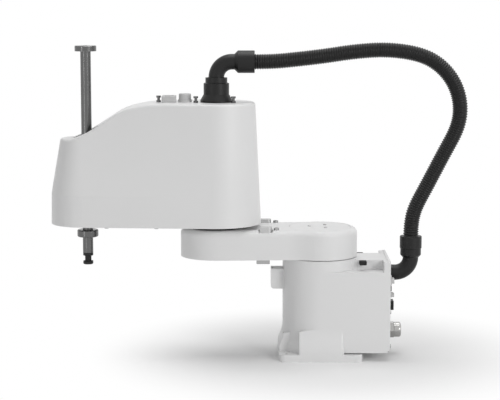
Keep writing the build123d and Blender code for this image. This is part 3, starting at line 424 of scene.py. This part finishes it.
def corrugated_tree():
    """A ribbed tube along a line: its radius swells once in every pitch, over flat valleys."""
    sizes = (
        ("Radius", "NodeSocketFloat"),
        ("Rib Depth", "NodeSocketFloat"),
        ("Rib Pitch", "NodeSocketFloat"),
        ("Steps Per Rib", "NodeSocketFloat"),
        ("Sides", "NodeSocketInt"),
        ("Material", "NodeSocketMaterial"),
    )
    build = Tree("corrugated_tube", sizes)
    step = build.math("DIVIDE", build.given("Rib Pitch"), build.given("Steps Per Rib"))
    path = {"Curve": build.given("Geometry"), "Length": step}
    line = build.node("GeometryNodeResampleCurve", {"mode": "LENGTH"}, path)
    along = build.node("GeometryNodeSplineParameter", {}, {}, "Length")
    turns = build.math("DIVIDE", along, build.given("Rib Pitch"))
    wave = build.math("COSINE", build.math("MULTIPLY", turns, 2 * math.pi))
    crest = build.math("MAXIMUM", wave, RIB_VALLEY)
    half_depth = build.math("MULTIPLY", build.given("Rib Depth"), RIB_VALLEY_SHARE)
    sunk = build.math("MULTIPLY", build.math("SUBTRACT", 1.0, crest), half_depth)
    radius = build.math("SUBTRACT", build.given("Radius"), sunk)
    sides = build.given("Sides")
    ring = build.node("GeometryNodeCurvePrimitiveCircle", {}, {"Resolution": sides, "Radius": 1.0})
    sweep = {"Curve": line, "Profile Curve": ring, "Scale": radius, "Fill Caps": True}
    tube = build.node("GeometryNodeCurveToMesh", {}, sweep)
    smoothed = build.node("GeometryNodeSetShadeSmooth", {}, {"Geometry": tube, "Shade Smooth": True})
    whole = build.node("GeometryNodeRealizeInstances", {}, {"Geometry": smoothed})
    dressed = {"Geometry": whole, "Material": build.given("Material")}
    return build.close(build.node("GeometryNodeSetMaterial", {}, dressed))


def hose_values():
    return {
        "Radius": HOSE_DIAMETER / 2,
        "Rib Depth": RIB_DEPTH,
        "Rib Pitch": RIB_PITCH,
        "Steps Per Rib": RIB_STEPS,
        "Sides": HOSE_SIDES,
        "Material": FINISHES["hose"],
    }


def line_object(name, path):
    """A straight-sided curve through the points of a path."""
    curve = bpy.data.curves.new(name, "CURVE")
    curve.dimensions = "3D"
    spline = curve.splines.new("POLY")
    spline.points.add(len(path) - 1)
    for point, place in zip(spline.points, path):
        point.co = (*place, 1.0)
    return bpy.data.objects.new(name, curve)


def lay_hose():
    """The hose in two stretches, split after the top of its route where it comes back past the split point.
    """
    line = hose_line()
    top = max(range(len(line)), key=lambda place: line[place].z)
    split = next(place for place in range(top, len(line)) if line[place].x < HOSE_SPLIT_X)
    tree = corrugated_tree()
    stretches = (
        ("hose_lower", line[: split + 1], "base", "arm_1", *HOSE_BENDS_BELOW),
        ("hose_upper", line[split:], "arm_1", "arm_2", *HOSE_BENDS_ABOVE),
    )
    for name, path, first, second, start, end in stretches:
        piece = grown(line_object(name + "_line", path), tree, hose_values(), name)
        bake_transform(piece)
        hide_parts("conduit_hose")
        length = sum((b - a).length for a, b in zip(path, path[1:]))


lay_hose()


# Castings and turned pieces that carry more form than their rigid nodes
def closed_piece(mesh, name, finish, sharp):
    """An object from a closed mesh, with its faces outward and smooth up to an angle in degrees."""
    bmesh.ops.remove_doubles(mesh, verts=mesh.verts, dist=1e-7)
    bmesh.ops.recalc_face_normals(mesh, faces=mesh.faces)
    for face in mesh.faces:
        face.smooth = True
    for edge in mesh.edges:
        if len(edge.link_faces) == 2 and edge.calc_face_angle() > math.radians(sharp):
            edge.smooth = False
    data = bpy.data.meshes.new(name)
    mesh.to_mesh(data)
    mesh.free()
    data.materials.append(finish)
    piece = bpy.data.objects.new(name, data)
    scene.collection.objects.link(piece)
    return piece


def smooth(share):
    """From 0 to 1 with a soft start and a soft end."""
    share = max(0.0, min(1.0, share))
    return share * share * (3.0 - 2.0 * share)


def wall_reach(turn):
    """Reach of the wall above the foot: round at the column, flat where the rear box stands."""
    if math.sin(turn) < 0.0:
        return COLUMN / abs(math.cos(turn))
    return COLUMN


def flare_reach(turn, height, low, high):
    """How far out the flare stands at a height; turn 0 looks to the front, a quarter to the left."""
    from_axis = (turn + math.pi / 4) % (math.pi / 2) - math.pi / 4
    front = COLUMN + (FOOT_FACE - COLUMN) * (1.0 - smooth((height - low) / (high - low)))
    face = front / math.cos(from_axis)
    side = BLOCK_HALF / max(abs(math.sin(from_axis)), 1e-3)
    block = (face**-CORNER_POWER + side**-CORNER_POWER) ** (-1.0 / CORNER_POWER)
    fallen = smooth((height - low) / (POCKET_TOP - low))
    pocket = wall_reach(turn) + (POCKET_WALL - COLUMN) * (1.0 - fallen)
    return max(pocket, block)


def foot_flare():
    """The soft cast sweep between the foot's blocks and the column, around three sides."""
    mesh = bmesh.new()
    first = math.radians(FLARE_ENDS[0])
    last = math.radians(FLARE_ENDS[1])
    columns = []
    for place in range(FLARE_STEPS + 1):
        turn = first + (last - first) * place / FLARE_STEPS
        sideways = max(0.0, math.sin(turn)) ** 2
        low = FLARE_FRONT[0] + (FLARE_SIDE[0] - FLARE_FRONT[0]) * sideways
        high = FLARE_FRONT[1] + (FLARE_SIDE[1] - FLARE_FRONT[1]) * sideways
        levels = [low + (high - low) * level / FLARE_LEVELS for level in range(FLARE_LEVELS + 1)]
        outside = [(flare_reach(turn, height, low, high), height) for height in [PAD_TOP, *levels]]
        inside = wall_reach(turn) - FLARE_INSIDE
        section = [(inside, PAD_TOP), *outside, (inside, high)]
        outward = Vector((-math.sin(turn), -math.cos(turn), 0.0))
        columns.append([mesh.verts.new(outward * reach + Vector((0.0, 0.0, z))) for reach, z in section])
    for left, right in zip(columns, columns[1:]):
        for place in range(len(left)):
            after = (place + 1) % len(left)
            mesh.faces.new((left[place], left[after], right[after], right[place]))
    mesh.faces.new(columns[0])
    mesh.faces.new(reversed(columns[-1]))
    return closed_piece(mesh, "foot_flare", FINISHES["painted_casting"], FLARE_SHARP)


def turned(name, centre, section, finish):
    """A piece turned about a vertical axis, from the radii and heights of its section."""
    mesh = bmesh.new()
    rings = []
    for place in range(TURNED_SIDES):
        turn = 2 * math.pi * place / TURNED_SIDES
        outward = Vector((math.cos(turn), math.sin(turn), 0.0))
        rings.append([mesh.verts.new(outward * reach + Vector((centre, 0.0, z))) for reach, z in section])
    for place, ring in enumerate(rings):
        beside = rings[(place + 1) % TURNED_SIDES]
        for level in range(len(section)):
            above = (level + 1) % len(section)
            if section[level][0] > 0.0 or section[above][0] > 0.0:
                mesh.faces.new((ring[level], ring[above], beside[above], beside[level]))
    return closed_piece(mesh, name, finish, TURNED_SHARP)


def nut_section():
    """The lower hose nut from its top inwards: a wide grip, a step and a chamfer to the elbow."""
    top = HOSE_ROUTE[0][1]
    return (
        (NUT_BORE, top),
        (NUT_GRIP - NUT_EDGE, top),
        (NUT_GRIP, top - NUT_EDGE),
        (NUT_GRIP, NUT_STEP_Z + NUT_SLOPE),
        (NUT_COLLAR, NUT_STEP_Z),
        (NUT_COLLAR, NUT_BOTTOM_Z + NUT_CHAMFER),
        (NUT_RIM, NUT_BOTTOM_Z),
        (NUT_BORE, NUT_BOTTOM_Z),
    )


def cap_section():
    """The end piece from its top: a disc, a neck and a foot with a slightly domed underside."""
    disc_bottom = CAP_TOP_Z - CAP_DISC
    foot_top = CAP_BOTTOM_Z + CAP_FOOT
    return (
        (0.0, CAP_TOP_Z),
        (CAP_RADIUS - CAP_EDGE, CAP_TOP_Z),
        (CAP_RADIUS, CAP_TOP_Z - CAP_EDGE),
        (CAP_RADIUS, disc_bottom + CAP_EDGE),
        (CAP_RADIUS - CAP_EDGE, disc_bottom),
        (CAP_NECK, disc_bottom - CAP_DISC_SLOPE),
        (CAP_NECK, foot_top + CAP_FOOT_SLOPE),
        (CAP_RADIUS - CAP_EDGE, foot_top),
        (CAP_RADIUS, foot_top - CAP_EDGE),
        *((reach, CAP_BOTTOM_Z + rise) for reach, rise in CAP_DOME),
        (0.0, CAP_BOTTOM_Z),
    )


def add_formed_pieces():
    flare = foot_flare()
    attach(flare, "base")
    hose_x = HOSE_ROUTE[0][0]
    nut = turned("lower_hose_nut_stepped", hose_x, nut_section(), FINISHES["dark_plastic"])
    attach(nut, "base")
    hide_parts("lower_hose_nut")
    cap = turned("end_cap_spool", SHAFT_X, cap_section(), FINISHES["dark_plastic"])
    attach(cap, "z_shaft")
    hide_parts("end_cap")


add_formed_pieces()


# Stage and light
def floor_material():
    """A white floor that keeps the shadow near the foot and is plain white further out."""
    ground = Finish("studio_floor")
    from_centre = {0: ground.place, 1: FLOOR_CENTRE}
    centred = ground.node("ShaderNodeVectorMath", {"operation": "SUBTRACT"}, from_centre, "Vector")
    reach = ground.node("ShaderNodeVectorMath", {"operation": "LENGTH"}, {0: centred}, "Value")
    sockets = {"Value": reach, "From Min": FLOOR_SHADOW_INNER, "From Max": FLOOR_SHADOW_OUTER}
    outside = ground.node("ShaderNodeMapRange", {"interpolation_type": "SMOOTHSTEP"}, sockets, "Result")
    grey = (FLOOR_SHADE, FLOOR_SHADE, FLOOR_SHADE, 1.0)
    lit = ground.principled(base_color=grey, roughness=0.9, specular_ior_level=0.2)
    plain = ground.node("ShaderNodeEmission", {}, {"Color": WHITE, "Strength": 1.0})
    factor = outside * ground.seen_directly()
    return ground.surface(ground.node("ShaderNodeMixShader", {}, {0: factor, 1: lit, 2: plain}))


def set_stage():
    """A plain white floor that keeps the shadow, and an even white surround."""
    bpy.ops.mesh.primitive_plane_add(size=FLOOR_SIZE, location=(0.0, 0.0, 0.0))
    floor = bpy.context.active_object
    floor.name = "studio_floor"
    floor.data.materials.append(floor_material())
    world = bpy.data.worlds.new("studio")
    scene.world = world
    world.use_nodes = True
    surround = Shading(world.node_tree)
    background = world.node_tree.nodes["Background"]
    background.inputs["Color"].default_value = WHITE
    strength = surround.seen_directly() * (1.0 - AMBIENT) + AMBIENT
    surround.feed(background.inputs["Strength"], strength)


def add_lamp(name, place, aim, size, power, height=None):
    """A round area lamp, or an upright one when it has a height."""
    data = bpy.data.lights.new(name, "AREA")
    data.shape = "DISK" if height is None else "RECTANGLE"
    data.size = size
    if height is not None:
        data.size_y = height
    data.energy = power
    lamp = bpy.data.objects.new(name, data)
    scene.collection.objects.link(lamp)
    lamp.location = place
    lamp.rotation_euler = (Vector(aim) - Vector(place)).to_track_quat("-Z", "Y").to_euler()


set_stage()
add_lamp("overhead_softbox", place=(0.2, 0.3, 3.2), aim=(-0.1, 0.0, 0.2), size=2.4, power=44.0)
add_lamp("front_right_softbox", place=(2.4, -2.9, 1.4), aim=(-0.05, 0.0, 0.3), size=1.4, power=50.0)
add_lamp("left_strip", place=(-1.2, -1.07, 0.4), aim=(-0.45, 0.0, 0.4), size=0.06, power=1.2, height=0.9)
